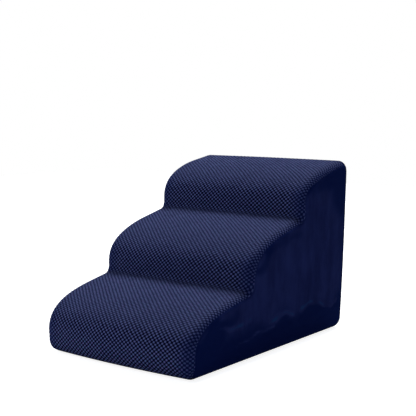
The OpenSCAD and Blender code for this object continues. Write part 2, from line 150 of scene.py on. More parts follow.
def tread(k):
    """The corner that a step's nose rounds, the end of its tread, and the tread's direction and normal."""
    c = np.array([RISER_Y[k], TREAD_FRONT_Z[k]])
    end = np.array([RISER_Y[k + 1] if k < 2 else STAIR_L, TREAD_BACK_Z[k]])
    d = unit(end - c)
    return c, end, d, np.array([-d[1], d[0]])


def nose(k, steps=90):
    """A step's nose: a cubic curve from its riser to its tread."""
    c, _, along, _ = tread(k)
    a, d = c - [0, NOSE_H], c + along * NOSE_L
    b, e = a + (c - a) * NOSE_FULL, d + (c - d) * NOSE_FULL
    t = np.linspace(0, 1, steps + 1)[:, None]
    p = (1 - t) ** 3 * a + 3 * (1 - t) ** 2 * t * b + 3 * (1 - t) * t**2 * e + t**3 * d
    g = (1 - t) ** 2 * (b - a) + 2 * (1 - t) * t * (e - b) + t**2 * (d - e)
    g /= np.linalg.norm(g, axis=1, keepdims=True)
    return plain(p, np.stack([-g[:, 1], g[:, 0]], 1), EDGE_R)


def notch(k, steps=18):
    """The hollow where a tread meets the next riser."""
    _, end, along, normal = tread(k)
    angle = math.atan2(normal[1], normal[0])
    start = end - along * NOTCH_R * math.tan((math.pi - angle) / 2)
    centre = start + normal * NOTCH_R
    n = turn(np.linspace(angle, math.pi, steps + 1))
    return plain(centre - n * NOTCH_R, n, EDGE_R)


def build_outline():
    """All records round the steps from the front foot, and the numbers of those at the seams."""
    parts, marks = [], {}

    def add(rows, **places):
        start = sum(len(p) for p in parts)
        marks.update({name: start + int(share * (len(rows) - 1)) for name, share in places.items()})
        parts.append(rows)

    front, back, down = np.array([-1.0, 0.0]), np.array([1.0, 0.0]), np.array([0.0, -1.0])
    top_turn = math.atan2(tread(2)[3][1], tread(2)[3][0])
    top_cut = CORNER_R * math.tan(top_turn / 2)
    foot = corner([0, 0], down, front, BASE_EDGE_R, EDGE_R, 1.5 * math.pi, math.pi)
    add(foot, front_seam=FRONT_SEAM_SHARE)
    add(straight([0, CORNER_R], tread(0)[0] - [0, NOSE_H], front, EDGE_R))
    for k in (0, 1, 2):
        c, end, along, normal = tread(k)
        add(nose(k))
        if k < 2:
            hollow = notch(k)
            add(straight(c + along * NOSE_L, hollow[0, :2], normal, EDGE_R))
            add(hollow)
            add(straight(hollow[-1, :2], tread(k + 1)[0] - [0, NOSE_H], front, EDGE_R))
        else:
            add(straight(c + along * NOSE_L, end - along * top_cut, normal, EDGE_R))
    top = corner(end, normal, back, EDGE_R, EDGE_R, top_turn, 0)
    add(top, top_seam=TOP_SEAM_SHARE)
    slit = [(STAIR_L, ZIP_Z + SLIT_W / 2), (STAIR_L, ZIP_Z - SLIT_W / 2)]
    add(straight([STAIR_L, STAIR_H - top_cut], slit[0], back, EDGE_R))
    add(plain([slit[0]], back, EDGE_R), slit_top=0)
    add(straight(slit[0], slit[1], back, EDGE_R))
    add(plain([slit[1]], back, EDGE_R), slit_bottom=0)
    add(straight(slit[1], [STAIR_L, CORNER_R], back, EDGE_R))
    heel = corner([STAIR_L, 0], back, down, EDGE_R, BASE_EDGE_R, 0, -math.pi / 2)
    add(heel, foot_seam=FOOT_SEAM_SHARE)
    add(straight([STAIR_L - CORNER_R, 0], [CORNER_R, 0], down, BASE_EDGE_R), base=0)
    rows = np.vstack(parts)
    return np.vstack([rows, rows[:1]]), marks


def relax(x, y, z):
    """The sewn cover is drawn in towards its foot and swells where it is filled; the back stays flat."""
    u, v = x / (STAIR_W / 2), y / (STAIR_L / 2)
    tuck = np.maximum(0, 1 - z / TUCK_H) ** 2 * FOOT_TUCK
    rise = np.minimum(1, z / CORNER_R) * (1 - np.maximum(0, v) ** 8)
    swell = np.maximum(0, 1 - v**4) * np.maximum(0, 1 - (z / (STAIR_H / 3) - 1) ** 2)
    return np.stack([
        x * (1 - tuck / (STAIR_W / 2)) + np.sign(u) * np.abs(u) ** 4 * swell * SIDE_CROWN,
        y + (tuck - FRONT_CROWN * (1 - u * u)) * (1 - v) / 2,
        z + TREAD_CROWN * (1 - u * u) * rise + DOT_H,
    ], -1)


def inset(r, angle):
    return r - r * np.cos(angle)


def flat_point(rec, angle):
    """The outline's points in Y and Z where it has turned by an angle into the side rounding."""
    rec = rec[..., None, :]
    sa, sb = inset(rec[..., 9], angle), inset(rec[..., 10], angle)
    round_r = np.where(rec[..., 8] > 0, np.maximum(INNER_CORNER_R, rec[..., 8] - np.maximum(sa, sb)), 0)
    return (
        rec[..., 0:2] - (sa + round_r)[..., None] * rec[..., 4:6]
        - (sb + round_r)[..., None] * rec[..., 6:8] + round_r[..., None] * rec[..., 2:4]
    )


def place(rec, w):
    """The cover's points at cloth distances w from the middle, one row for each record."""
    rx = rec[:, 11:12]
    flat = STAIR_W / 2 - rx
    angle = np.clip((np.abs(w) - flat) / rx, 0, math.pi / 2)
    q = flat_point(rec, angle)
    x = np.clip(w, -flat, flat) + np.sign(w) * rx * np.sin(angle)
    return relax(x, q[..., 0] - STAIR_L / 2, q[..., 1])


OUTLINE, MARKS = build_outline()
MIDDLE = flat_point(OUTLINE, np.zeros(1))[:, 0]
S = np.concatenate([[0], np.cumsum(np.linalg.norm(np.diff(MIDDLE, axis=0), axis=1))])
TOTAL = S[-1]


def seam_angle():
    """How far round the edge the seam lies: furthest on risers, least on the base."""
    share = np.maximum(0, -np.minimum(OUTLINE[:, 12], OUTLINE[:, 14])) ** SEAM_TURN
    angle = SEAM_TREAD + (SEAM_RISER - SEAM_TREAD) * share
    from_base = np.minimum(S, np.maximum(0, S[MARKS["base"]] - S))
    return SEAM_BASE + (angle - SEAM_BASE) * smoothstep(0, SEAM_RAMP, from_base)


# Where the sewn seam strays from its line at the third step: height, reach and distance outwards
SEAM_STRAYS = [(0.325, 0.03, -0.006), (0.375, 0.02, 0.005)]
# It strays from this far before the third riser
STRAY_LEAD = 0.02


def seam_stray():
    y, z = OUTLINE[:, 0], OUTLINE[:, 1]
    at_top = (y > RISER_Y[2] - STRAY_LEAD) & (y < STAIR_L - CORNER_R)
    return at_top * sum(out * np.exp(-(((z - z0) / reach) ** 2)) for z0, reach, out in SEAM_STRAYS)


SEAM_W = STAIR_W / 2 - OUTLINE[:, 11] * (1 - seam_angle()) + seam_stray()
SIDE_W = STAIR_W / 2 - OUTLINE[:, 11] * (1 - math.pi / 2)


def at(values, s):
    """What the outline's records hold at distances s along it."""
    return np.interp(s % TOTAL, S, values)


def stretch(start, end):
    """Distances of the mesh rows between two marked records, going on past the end of the outline."""
    a, b = S[MARKS[start]], S[MARKS[end]]
    b += TOTAL if b < a else 0
    return np.linspace(a, b, 1 + math.ceil((b - a) / ROW_STEP))


ROWS = {
    "tread": stretch("front_seam", "top_seam"),
    "back_upper": stretch("top_seam", "slit_top"),
    "slit": stretch("slit_top", "slit_bottom"),
    "back_lower": stretch("slit_bottom", "foot_seam"),
    "base": stretch("foot_seam", "front_seam"),
}


def surface(s, w):
    """Points of the cover at distances s along the outline, one row each, and w across."""
    s = s % TOTAL
    i = np.clip(np.searchsorted(S, s, side="right") - 1, 0, len(S) - 2)
    t = ((s - S[i]) / (S[i + 1] - S[i]))[:, None, None]
    return (1 - t) * place(OUTLINE[i], w) + t * place(OUTLINE[i + 1], w)


def surface_normal(s, w, step=0.001):
    sideways = surface(s, w + step) - surface(s, w - step)
    onwards = surface(s + step, w) - surface(s - step, w)
    n = np.cross(sideways, onwards)
    return n / np.linalg.norm(n, axis=-1, keepdims=True)


# Relief of the cloth


def seam_depth(distance, along):
    """How deep the cloth lies near a seam, with its puckers along it."""
    phase = 2 * math.pi * along / PUCKER_L
    drift = PUCKER_DRIFT * np.cos(DRIFT_SHARE * phase)
    pucker = 1 + PUCKER * np.cos(phase + drift)
    return GROOVE_DEPTH * pucker * np.exp(-((distance / GROOVE_WIDTH) ** 2))


def tufts(w, s):
    """Raised tufts and pits between them."""
    net = sum(np.cos(2 * math.pi * (a * w + b * s)) for a, b in SLANTS) / 2
    return TUFT_HEIGHT * smoothstep(-0.1, 0.9, net) - PIT_DEPTH * smoothstep(0.1, 0.8, -net)


def smooth(w, s):
    """No tufts."""
    return np.zeros_like(w)


def swells(a, b, waves):
    """Low hollows and swells: each wave has a height, a length, a direction and a phase."""
    return sum(
        h * np.cos(2 * math.pi * (a * math.cos(d) + b * math.sin(d)) / length + phase)
        for h, length, d, phase in waves
    )


TREAD_WAVES = [
    (0.0003, 0.21, 0.3, 0.4),
    (0.0002, 0.13, 1.2, 2.0),
    (0.0002, 0.083, 2.3, 1.1),
    (0.0001, 0.057, 0.8, 3.3),
]
SIDE_WAVES = [
    (0.0007, 0.26, 0.2, 0.9),
    (0.0005, 0.15, 1.3, 2.6),
    (0.0003, 0.09, 2.2, 0.3),
    (0.0002, 0.06, 0.6, 4.0),
]
# A fold's bend, and the hollow beside it: a share of the fold's height, and its place in half widths
FOLD_BEND, HOLLOW_SHARE, HOLLOW_AT = 0.12, 0.6, 1.7
# Faint folds of a side: middle in Y and Z, direction, half length, half width and height
SIDE_FOLDS = [
    (-0.080, 0.052, 0.16, 0.100, 0.007, 0.0010),
    (0.030, 0.074, 0.10, 0.110, 0.010, 0.0012),
    (0.140, 0.050, 0.06, 0.090, 0.008, 0.0009),
    (0.215, 0.095, -0.35, 0.070, 0.010, 0.0009),
    (-0.215, 0.040, 0.70, 0.045, 0.007, 0.0009),
    (-0.020, 0.118, 1.25, 0.050, 0.007, 0.0006),
    (0.090, 0.200, 1.45, 0.085, 0.008, 0.0005),
    (0.205, 0.235, 1.62, 0.090, 0.008, 0.0005),
]
# Painted shade on a side, in part standing for nap that lies another way (positive strengths), and painted
# highlights along its ridges (negative strengths): both ends in Y and Z, half width and strength
SIDE_PAINTED_SHADES = [
    (-0.265, 0.028, 0.275, 0.024, 0.054, 0.85),
    (-0.262, 0.040, -0.215, 0.085, 0.028, 0.5),
    (-0.235, 0.086, -0.150, 0.112, 0.014, 0.5),
    (-0.075, 0.190, -0.030, 0.222, 0.014, 0.55),
    (-0.035, 0.222, 0.085, 0.250, 0.013, 0.5),
    (0.140, 0.345, 0.280, 0.380, 0.026, 0.7),
    (0.235, 0.365, 0.245, 0.300, 0.036, 0.6),
    (0.285, 0.380, 0.285, 0.020, 0.022, 0.5),
    (0.120, 0.055, 0.270, 0.050, 0.024, 0.6),
    (-0.205, 0.090, -0.100, 0.084, 0.005, -0.7),
    (-0.140, 0.044, -0.010, 0.064, 0.003, -0.5),
    (-0.030, 0.078, 0.070, 0.073, 0.005, -0.8),
    (0.105, 0.086, 0.265, 0.068, 0.006, -0.8),
]
# The painted shades' wavy edges: height, length, direction and phase of each wave
PAINTED_SHADE_WAVES = [(0.004, 0.130, 0.2, 1.0), (0.003, 0.070, 0.9, 2.2), (0.0015, 0.038, 2.5, 0.5)]
# Waves by which the painted highlight lines are broken up
PAINTED_HIGHLIGHT_WAVES = [(0.3, 0.071, 0.1, 0.4), (0.2, 0.037, 0.4, 2.8)]
# Painted shade along a side's edge where that edge faces up, and how dark it is
EDGE_PAINTED_SHADE = 1.0


def side_painted_shade(y, z):
    """Painted shade on a side, from -1 for a painted highlight to 1 for full painted shade."""
    y, z = y + swells(z, y, PAINTED_SHADE_WAVES), z + swells(y, z, PAINTED_SHADE_WAVES)
    broken = 1 + swells(y, z, PAINTED_HIGHLIGHT_WAVES)
    painted_shade = 0
    for y0, z0, y1, z1, half, strength in SIDE_PAINTED_SHADES:
        along = np.array([y1 - y0, z1 - z0])
        t = np.clip(((y - y0) * along[0] + (z - z0) * along[1]) / (along @ along), 0, 1)
        d = np.hypot(y - y0 - t * along[0], z - z0 - t * along[1])
        painted_shade = painted_shade + strength * np.exp(-((d / half) ** 2)) * (1 if strength > 0 else broken)
    return np.clip(painted_shade, -1, 1)


def side_relief(y, z):
    height = swells(y, z, SIDE_WAVES)
    for y0, z0, turned, half_l, half_w, h in SIDE_FOLDS:
        a = (y - y0) * math.cos(turned) + (z - z0) * math.sin(turned)
        b = (z - z0) * math.cos(turned) - (y - y0) * math.sin(turned)
        b = b - FOLD_BEND * a**2 / half_l
        ridge, hollow = (np.exp(-((b / half_w + off) ** 2)) for off in (0, HOLLOW_AT))
        height = height + h * (ridge - HOLLOW_SHARE * hollow) * np.exp(-((a / half_l) ** 2))
    return height


# Meshes


def make_piece(name, points, faces, material, cloth=None):
    """A mesh of its own, with the cloth attribute that its material reads: two flat coordinates and,
    for a side, its painted shade; for another panel, how far it faces up, for painted shade and painted
    sheen."""
    mesh = bpy.data.meshes.new(name)
    mesh.from_pydata(np.asarray(points).tolist(), [], [list(map(int, f)) for f in faces])
    if cloth is not None:
        layer = mesh.attributes.new("cloth", "FLOAT_VECTOR", "POINT")
        layer.data.foreach_set("vector", cloth.astype(np.float32).ravel())
    mesh.polygons.foreach_set("use_smooth", np.ones(len(mesh.polygons), bool))
    mesh.materials.append(material)
    piece = bpy.data.objects.new(name, mesh)
    bpy.context.scene.collection.objects.link(piece)
    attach(piece, "stairs")
    return piece


def grid_faces(rows, columns, closed=False):
    i, j = np.meshgrid(np.arange(rows if closed else rows - 1), np.arange(columns - 1), indexing="ij")
    a, b = i * columns + j, (i + 1) % rows * columns + j
    return np.stack([a, a + 1, b + 1, b], -1).reshape(-1, 4)


def turn_under(points, normal, cloth, axis, last, rolls):
    """The grids with more rows or columns past an edge. Each roll goes out by one length and down by
    the other."""
    edge, inner = (-1, -2) if last else (0, 1)
    tip, cloth_tip = np.take(points, edge, axis), np.take(cloth, edge, axis)
    out = tip - np.take(points, inner, axis)
    out /= np.linalg.norm(out, axis=-1, keepdims=True)
    cloth_out = (cloth_tip - np.take(cloth, inner, axis)) * [1, 1, 0]
    cloth_out /= np.linalg.norm(cloth_out, axis=-1, keepdims=True)
    down = np.take(normal, edge, axis)
    more = [[], [], []]
    length, before = 0, (0, 0)
    for a, b in rolls:
        length += math.hypot(a - before[0], b - before[1])
        before = (a, b)
        for grid, row in zip(more, (tip + out * a - down * b, down, cloth_tip + cloth_out * length)):
            grid.append(row)
    grids = []
    for grid, rows in zip((points, normal, cloth), more):
        block = np.stack(rows if last else rows[::-1], axis)
        grids.append(np.concatenate([grid, block] if last else [block, grid], axis))
    return grids


def panel(name, material, rows, w, fine=smooth, waves=(), hems=()):
    """A panel of cloth over rows and columns. It meets its neighbours in seams, apart from its hems."""
    s = np.broadcast_to(rows[:, None], w.shape)
    edges = {
        "left": (1, False, w - w[:, :1], s), "right": (1, True, w[:, -1:] - w, s),
        "start": (0, False, s - s[:1], w), "end": (0, True, s[-1:] - s, w),
    }
    depth, near = np.zeros_like(w), np.full_like(w, np.inf)
    for side, (_, _, distance, along) in edges.items():
        if side not in hems:
            depth = np.maximum(depth, seam_depth(distance, along))
            near = np.minimum(near, distance)
    height = fine(w, s) * smoothstep(0, TUFT_FADE, near)
    height = height + swells(w, s, waves) * smoothstep(0, SWELL_FADE, near)
    normal = surface_normal(rows, w)
    points = surface(rows, w) + normal * (height - depth)[..., None]
    # The third value is how far the cloth faces up, which the materials turn into painted shade and painted
    # sheen
    cloth = np.stack([w, s, np.clip(normal[..., 2], 0, 1)], -1)
    for side, (axis, last, _, _) in edges.items():
        rolls = HEM_ROLL if side in hems else SEAM_ROLL
        points, normal, cloth = turn_under(points, normal, cloth, axis, last, rolls)
    n, m = points.shape[:2]
    return make_piece(name, points.reshape(-1, 3), grid_faces(n, m), material, cloth.reshape(-1, 3))


def across(rows, columns=PLAIN_COLUMNS):
    """Columns from the left seam to the right one."""
    return at(SEAM_W, rows)[:, None] * np.linspace(-1, 1, columns)[None]


def inside(points, loop):
    """Which points lie inside a closed loop."""
    a, b = loop, np.roll(loop, -1, axis=0)
    px, py = points[:, :1], points[:, 1:]
    crosses = (a[:, 1] > py) != (b[:, 1] > py)
    slope = (b[:, 0] - a[:, 0]) / np.where(b[:, 1] == a[:, 1], 1, b[:, 1] - a[:, 1])
    return (crosses & (px < a[:, 0] + (py - a[:, 1]) * slope)).sum(1) % 2 == 1


def distance_to(points, loop, batches=20):
    """How far points lie from the nearest point of a loop."""
    return np.concatenate([
        np.linalg.norm(batch[:, None] - loop[None], axis=-1).min(1)
        for batch in np.array_split(points, batches)
    ])


def side_panel(name, material, sign):
    """A side: rings of cells from the seam over the rounding, and a fine mesh of triangles inside."""
    rows = np.concatenate([part[:-1] for part in ROWS.values()])
    n = len(rows)
    start, stop = at(SEAM_W, rows)[:, None], at(SIDE_W, rows)[:, None]
    w = sign * (start + (stop - start) * np.linspace(0, 1, RINGS)[None])
    normal = surface_normal(rows, w)
    ring = surface(rows, w) - normal * seam_depth(np.abs(w) - start, rows[:, None])[..., None]
    cloth = np.stack([ring[..., 1], ring[..., 2], 0 * ring[..., 0]], -1)
    ring, normal, cloth = turn_under(ring, normal, cloth, 1, False, SEAM_ROLL)
    facing_up = np.clip(normal[..., 2], 0, 1).ravel()
    columns = RINGS + len(SEAM_ROLL)
    edge = ring[:, -1, 1:]
    low, high = edge.min(0), edge.max(0)
    cells = np.meshgrid(*(np.arange(a, b, SIDE_CELL) for a, b in zip(low, high)), indexing="ij")
    middle = np.stack([c.ravel() for c in cells], 1)
    middle = middle[inside(middle, edge)]
    far = distance_to(middle, edge)
    middle, far = middle[far > SIDE_CELL_LEAST], far[far > SIDE_CELL_LEAST]
    x = relax(np.full(len(middle), STAIR_W / 2), middle[:, 0], middle[:, 1] - DOT_H)[:, 0]
    x = x + side_relief(middle[:, 0], middle[:, 1]) * smoothstep(0, SWELL_FADE, far)
    loop = [Vector(p) for p in edge] + [Vector(p) for p in middle]
    faces = delaunay_2d_cdt(loop, [], [list(range(n))], 1, SAME_POINT)[2]
    ids = np.concatenate([np.arange(n) * columns + columns - 1, np.arange(len(middle)) + n * columns])
    faces = grid_faces(n, columns, True).tolist() + [[int(ids[i]) for i in f] for f in faces]
    points = np.concatenate([ring.reshape(-1, 3), np.column_stack([sign * x, middle])])
    cloth = np.concatenate([cloth.reshape(-1, 3)[:, :2], middle])
    # Painted shade and painted highlights on the side, and more painted shade where its rounding faces up
    painted_shade = side_painted_shade(cloth[:, 0], cloth[:, 1])
    painted_shade[:facing_up.size] += EDGE_PAINTED_SHADE * facing_up
    cloth = np.column_stack([cloth, painted_shade])
    return make_piece(name, points, faces if sign > 0 else [f[::-1] for f in faces], material, cloth)


def stitches(name, material, z, x_from, x_to, length=0.0026, gap=0.0007, r=0.00021):
    """A row of lockstitches along X on the back, each a short arc of thread that dips in at its ends."""
    t = np.linspace(0, 1, 7)
    ring = np.linspace(0, 2 * math.pi, 6, endpoint=False)
    thin = r * np.sqrt(np.clip(1 - (2 * t - 1) ** 6, 0.02, 1))
    x = (t * length)[:, None] + 0 * ring
    rise, sunk = 1.6 * r, 0.4 * r
    y = (rise * np.sin(math.pi * t) - sunk)[:, None] + thin[:, None] * np.cos(ring)
    dz = thin[:, None] * np.sin(ring)
    one = np.stack([x, y, dz], -1).reshape(-1, 3)
    starts = np.arange(x_from, x_to - length, length + gap)
    points = np.concatenate([one + [x0, STAIR_L / 2, z] for x0 in starts])
    i, j = np.meshgrid(np.arange(len(t) - 1), np.arange(len(ring)), indexing="ij")
    k = (j + 1) % len(ring)
    a, b = i * len(ring), (i + 1) * len(ring)
    faces = np.stack([a + j, a + k, b + k, b + j], -1).reshape(-1, 4)
    faces = np.concatenate([faces + n * len(one) for n in range(len(starts))])
    return make_piece(name, points, faces, material)


def domes(name, material, centres, profile, turns=20):
    """Low domes under the base. Their profile has radii and heights, from the cloth to the floor."""
    angle = np.linspace(0, 2 * math.pi, turns, endpoint=False)
    rings = [np.column_stack([r * np.cos(angle), r * np.sin(angle), np.full(turns, z)]) for r, z in profile]
    one = np.concatenate(rings + [[[0, 0, profile[-1][1]]]])
    faces = []
    for i in range(len(profile) - 1):
        for j in range(turns):
            k = (j + 1) % turns
            faces.append([i * turns + k, i * turns + j, (i + 1) * turns + j, (i + 1) * turns + k])
    last = (len(profile) - 1) * turns
    faces += [[last + (j + 1) % turns, last + j, len(one) - 1] for j in range(turns)]
    points = np.concatenate([one + [x, y, 0] for x, y in centres])
    all_faces = [[v + n * len(one) for v in f] for n in range(len(centres)) for f in faces]
    return make_piece(name, points, all_faces, material)


def tape_edges(name, material, x_from, x_to, columns=12, turns=15):
    """The woven bead along the inner edge of both tapes, which nearly meet beyond the chain. It goes on
    as a strip inside the tape's faces."""
    strip_share, off_middle = 0.96, 1.04
    upper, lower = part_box("zipper_tape_upper"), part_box("zipper_tape_lower")
    y, half_t = (upper[0][1] + upper[1][1]) / 2, strip_share * (upper[1][1] - upper[0][1]) / 2
    z, reach = (upper[0][2] + lower[1][2]) / 2, (upper[0][2] - lower[1][2]) / 2
    open_from = math.asin(half_t / TAPE_BEAD_R)
    angle = np.linspace(open_from, 2 * math.pi - open_from, turns)
    bead = np.stack([TAPE_BEAD_R * np.sin(angle), TAPE_BEAD_R * (off_middle + np.cos(angle))], 1)
    profile = np.concatenate([[[half_t, reach]], bead, [[-half_t, reach]]])
    x = np.linspace(x_from, x_to, columns)
    points, faces = [], []
    for sign in (1, -1):
        rows = [[(a, y + dy, z + sign * dz) for a in x] for dy, dz in profile]
        first = len(points) * len(profile) * columns
        points.append(np.array(rows).reshape(-1, 3))
        strip = grid_faces(len(profile), columns, True) + first
        left = first + np.arange(len(profile)) * columns
        ends = [left, left[::-1] + columns - 1]
        block = strip.tolist() + [end.tolist() for end in ends]
        faces += block if sign > 0 else [f[::-1] for f in block]
    return make_piece(name, np.concatenate(points), faces, material)


# Materials


class Shader:
    """A Principled material and short calls that add nodes to it."""

    def __init__(self, name, roughness, sheen=0.0, sheen_tint=(1, 1, 1), metallic=0.0, specular=0.3):
        self.material = bpy.data.materials.new(name)
        self.material.use_nodes = True
        self.tree = self.material.node_tree
        self.bsdf = self.tree.nodes["Principled BSDF"]
        settings = {
            "Roughness": roughness, "Sheen Weight": sheen, "Sheen Roughness": 0.45,
            "Sheen Tint": (*sheen_tint, 1), "Metallic": metallic, "Specular IOR Level": specular,
        }
        for key, value in settings.items():
            self.bsdf.inputs[key].default_value = value

    def node(self, kind, output=0, settings=None, inputs=None):
        node = self.tree.nodes.new(kind)
        for key, value in (settings or {}).items():
            setattr(node, key, value)
        for key, value in (inputs or {}).items():
            self.set(node.inputs[key], value)
        return node.outputs[output]

    def set(self, socket, value):
        if isinstance(value, bpy.types.NodeSocket):
            self.tree.links.new(value, socket)
        else:
            socket.default_value = value

    def math(self, operation, a, b=0.0):
        return self.node("ShaderNodeMath", 0, {"operation": operation}, {0: a, 1: b})

    def add(self, a, b):
        return self.math("ADD", a, b)

    def less(self, a, b):
        return self.math("SUBTRACT", a, b)

    def times(self, a, b):
        return self.math("MULTIPLY", a, b)

    def cloth(self):
        """The piece's flat cloth coordinates, in metres, and its painted shade for a side, how far it faces
        up for another panel.
        """
        return self.node("ShaderNodeAttribute", 1, {"attribute_name": "cloth"})

    def place(self):
        """The piece's own coordinates, in metres."""
        return self.node("ShaderNodeTexCoord", 3)

    def scaled(self, vector, scale):
        return self.node("ShaderNodeMapping", 0, None, {"Vector": vector, "Scale": scale})

    def split(self, vector):
        node = self.tree.nodes.new("ShaderNodeSeparateXYZ")
        self.set(node.inputs[0], vector)
        return node.outputs[0], node.outputs[1], node.outputs[2]

    def noise(self, vector, scale, detail=3.0, roughness=0.55):
        inputs = {"Vector": vector, "Scale": scale, "Detail": detail, "Roughness": roughness}
        return self.node("ShaderNodeTexNoise", 0, None, inputs)

    def ramp(self, value, low, high, to_low=0.0, to_high=1.0):
        inputs = {"Value": value, "From Min": low, "From Max": high, "To Min": to_low, "To Max": to_high}
        return self.node("ShaderNodeMapRange", 0, {"interpolation_type": "SMOOTHSTEP"}, inputs)

    def mix(self, share, a, b):
        return self.node("ShaderNodeMix", 2, {"data_type": "RGBA"}, {0: share, 6: a, 7: b})

    def wave(self, value, period):
        """A cosine of a distance with a period, both in metres."""
        return self.math("COSINE", self.times(value, 2 * math.pi / period))

    def finish(self, color, height, distance, strength=0.6, roughness=None):
        self.set(self.bsdf.inputs["Base Color"], color)
        if roughness is not None:
            self.set(self.bsdf.inputs["Roughness"], roughness)
        inputs = {"Height": height, "Distance": distance, "Strength": strength}
        self.set(self.bsdf.inputs["Normal"], self.node("ShaderNodeBump", 0, None, inputs))
        return self.material


def rgb(*steps):
    """A colour given in the 0 to 255 steps of a screen."""
    shares = [c / 255 for c in steps]
    return (*[c / 12.92 if c <= 0.04045 else ((c + 0.055) / 1.055) ** 2.4 for c in shares], 1)


def dotted_jacquard():
    """Raised blue tufts in a lattice with dark pits between, and fine yarns over all of it; painted sheen
    where it faces up, painted shade in part of the pits' darkness and beside the seams.
    """
    m = Shader("dotted_jacquard", 0.9, sheen=0.02, sheen_tint=(0.5, 0.6, 1.0), specular=0.02)
    pull, yarn_l = 0.003, 0.0011
    seam_from, seam_to = STAIR_W / 2 - 0.045, STAIR_W / 2 - 0.003
    w, s, up = m.split(m.cloth())
    # How far the cloth faces up: where the painted sheen goes
    painted_tread_sheen = m.ramp(up, 0.4, 0.96)
    pulls = [m.times(m.less(m.noise(m.cloth(), scale), 0.5), pull) for scale in (60.0, 75.0)]
    net_w, net_s = m.add(w, pulls[0]), m.add(s, pulls[1])
    net = m.add(*[m.wave(m.add(m.times(net_w, a), m.times(net_s, b)), 1.0) for a, b in SLANTS])
    uneven = m.less(m.noise(m.cloth(), 800.0, 2.0), 0.5)
    net = m.add(m.times(net, 0.5), m.times(uneven, 0.4))
    pit = m.ramp(net, 0.42, -0.08)
    yarn = m.times(m.wave(m.add(w, s), yarn_l), m.wave(m.less(w, s), yarn_l))
    patch = m.noise(m.cloth(), 11.0)
    blue = m.mix(m.ramp(patch, 0.3, 0.7), rgb(104, 115, 172), rgb(117, 128, 186))
    tint = m.ramp(m.noise(m.cloth(), 190.0, 2.0), 0.36, 0.64)
    blue = m.mix(0.6, blue, m.mix(tint, rgb(117, 102, 172), rgb(86, 124, 170)))
    # Painted sheen: cloth that faces up is greyer
    blue = m.mix(m.times(painted_tread_sheen, 0.7), blue, rgb(79, 87, 124))
    blue = m.mix(m.ramp(yarn, -0.6, 0.8, 0.4, 0.0), blue, rgb(48, 56, 104))
    # Pits dark partly by their darker yarn and partly by painted shade, less dark under the painted sheen
    color = m.mix(m.times(pit, m.less(1.0, m.times(painted_tread_sheen, 0.2))), blue, rgb(0, 2, 36))
    # Painted shade: risers darker and tealer towards the seams
    beside_seam = m.times(m.ramp(m.math("ABSOLUTE", w), seam_from, seam_to), m.less(1.0, painted_tread_sheen))
    color = m.mix(m.times(beside_seam, 0.6), color, rgb(14, 30, 84))
    height = m.add(m.times(yarn, 0.12), m.times(pit, -0.6))
    return m.finish(color, height, 0.0006)


def velvet():
    """Short plush: streaks and patches where the nap lies another way, with painted shade and painted
    highlights from the cloth attribute.
    """
    m = Shader("velvet", 0.95, sheen=0.03, sheen_tint=(0.3, 0.45, 1.0), specular=0.01)
    streak = m.noise(m.scaled(m.place(), (1.0, 1.0, 0.25)), 34.0, 5.0, 0.6)
    patch = m.noise(m.scaled(m.place(), (1.0, 1.0, 0.7)), 9.0, 4.0, 0.6)
    nap = m.add(m.times(streak, 0.5), m.times(patch, 0.5))
    color = m.mix(m.ramp(nap, 0.36, 0.64), rgb(24, 32, 78), rgb(36, 46, 98))
    painted_shade = m.split(m.cloth())[2]
    # Painted shade from the cloth attribute, with random patches of darker nap
    dark = m.ramp(m.add(painted_shade, m.times(m.less(patch, 0.5), 0.9)), 0.1, 0.8)
    color = m.mix(dark, color, rgb(9, 24, 73))
    # Painted highlights where the cloth attribute is below zero
    color = m.mix(m.ramp(painted_shade, -0.05, -0.7), color, rgb(26, 54, 106))
    pile = m.noise(m.place(), 2600.0, 2.0, 0.6)
    tuft = m.noise(m.place(), 420.0, 3.0, 0.6)
    color = m.mix(m.ramp(pile, 0.35, 0.65, 0.2, 0.0), color, rgb(3, 8, 44))
    return m.finish(color, m.add(m.times(pile, 0.4), m.times(tuft, 0.6)), 0.0004, 0.5)


def base_cloth():
    """A dark plain weave with small rubber points pressed through it."""
    m = Shader("base_cloth", 0.9, sheen=0.03, specular=0.05)
    yarn_l, point_l = 0.0016, 0.01
    w, s, _ = m.split(m.cloth())
    weave = m.times(m.wave(w, yarn_l), m.wave(s, yarn_l))
    fuzz = m.less(m.noise(m.cloth(), 700.0), 0.5)
    color = m.mix(m.ramp(m.add(weave, fuzz), -0.9, 0.9), rgb(4, 6, 16), rgb(15, 18, 34))
    point = m.ramp(m.times(m.wave(w, point_l), m.wave(s, point_l)), 0.72, 0.85)
    color = m.mix(point, color, rgb(20, 21, 28))
    return m.finish(color, m.add(m.times(weave, 0.2), point), 0.0004)


def tape_cloth():
    """Zipper tape: a herringbone of fine yarns along X."""
    m = Shader("zipper_tape", 0.75, sheen=0.15, specular=0.3)
    bone_w, yarn_l = 0.0022, 0.0007
    x, _, z = m.split(m.place())
    zig = m.math("ABSOLUTE", m.less(m.math("FRACT", m.math("DIVIDE", z, bone_w)), 0.5))
    twill = m.wave(m.add(x, m.times(zig, bone_w)), yarn_l)
    return m.finish(m.mix(m.ramp(twill, -0.8, 0.8), rgb(9, 12, 40), rgb(26, 32, 78)), twill, 0.0002)


def thread():
    m = Shader("thread", 0.55, sheen=0.2, specular=0.4)
    twist_l = 0.0005
    twist = m.wave(m.add(*m.split(m.place())[::2]), twist_l)
    return m.finish(m.mix(m.ramp(twist, -1, 1), rgb(16, 22, 64), rgb(44, 54, 110)), twist, 0.0001)


def moulded(name, color, worn, roughness):
    m = Shader(name, roughness, specular=0.5)
    grain = m.noise(m.place(), 900.0)
    rough = m.ramp(grain, 0.3, 0.7, roughness - 0.08, roughness + 0.1)
    return m.finish(m.mix(m.ramp(grain, 0.35, 0.7), color, worn), grain, 0.0001, 0.3, rough)


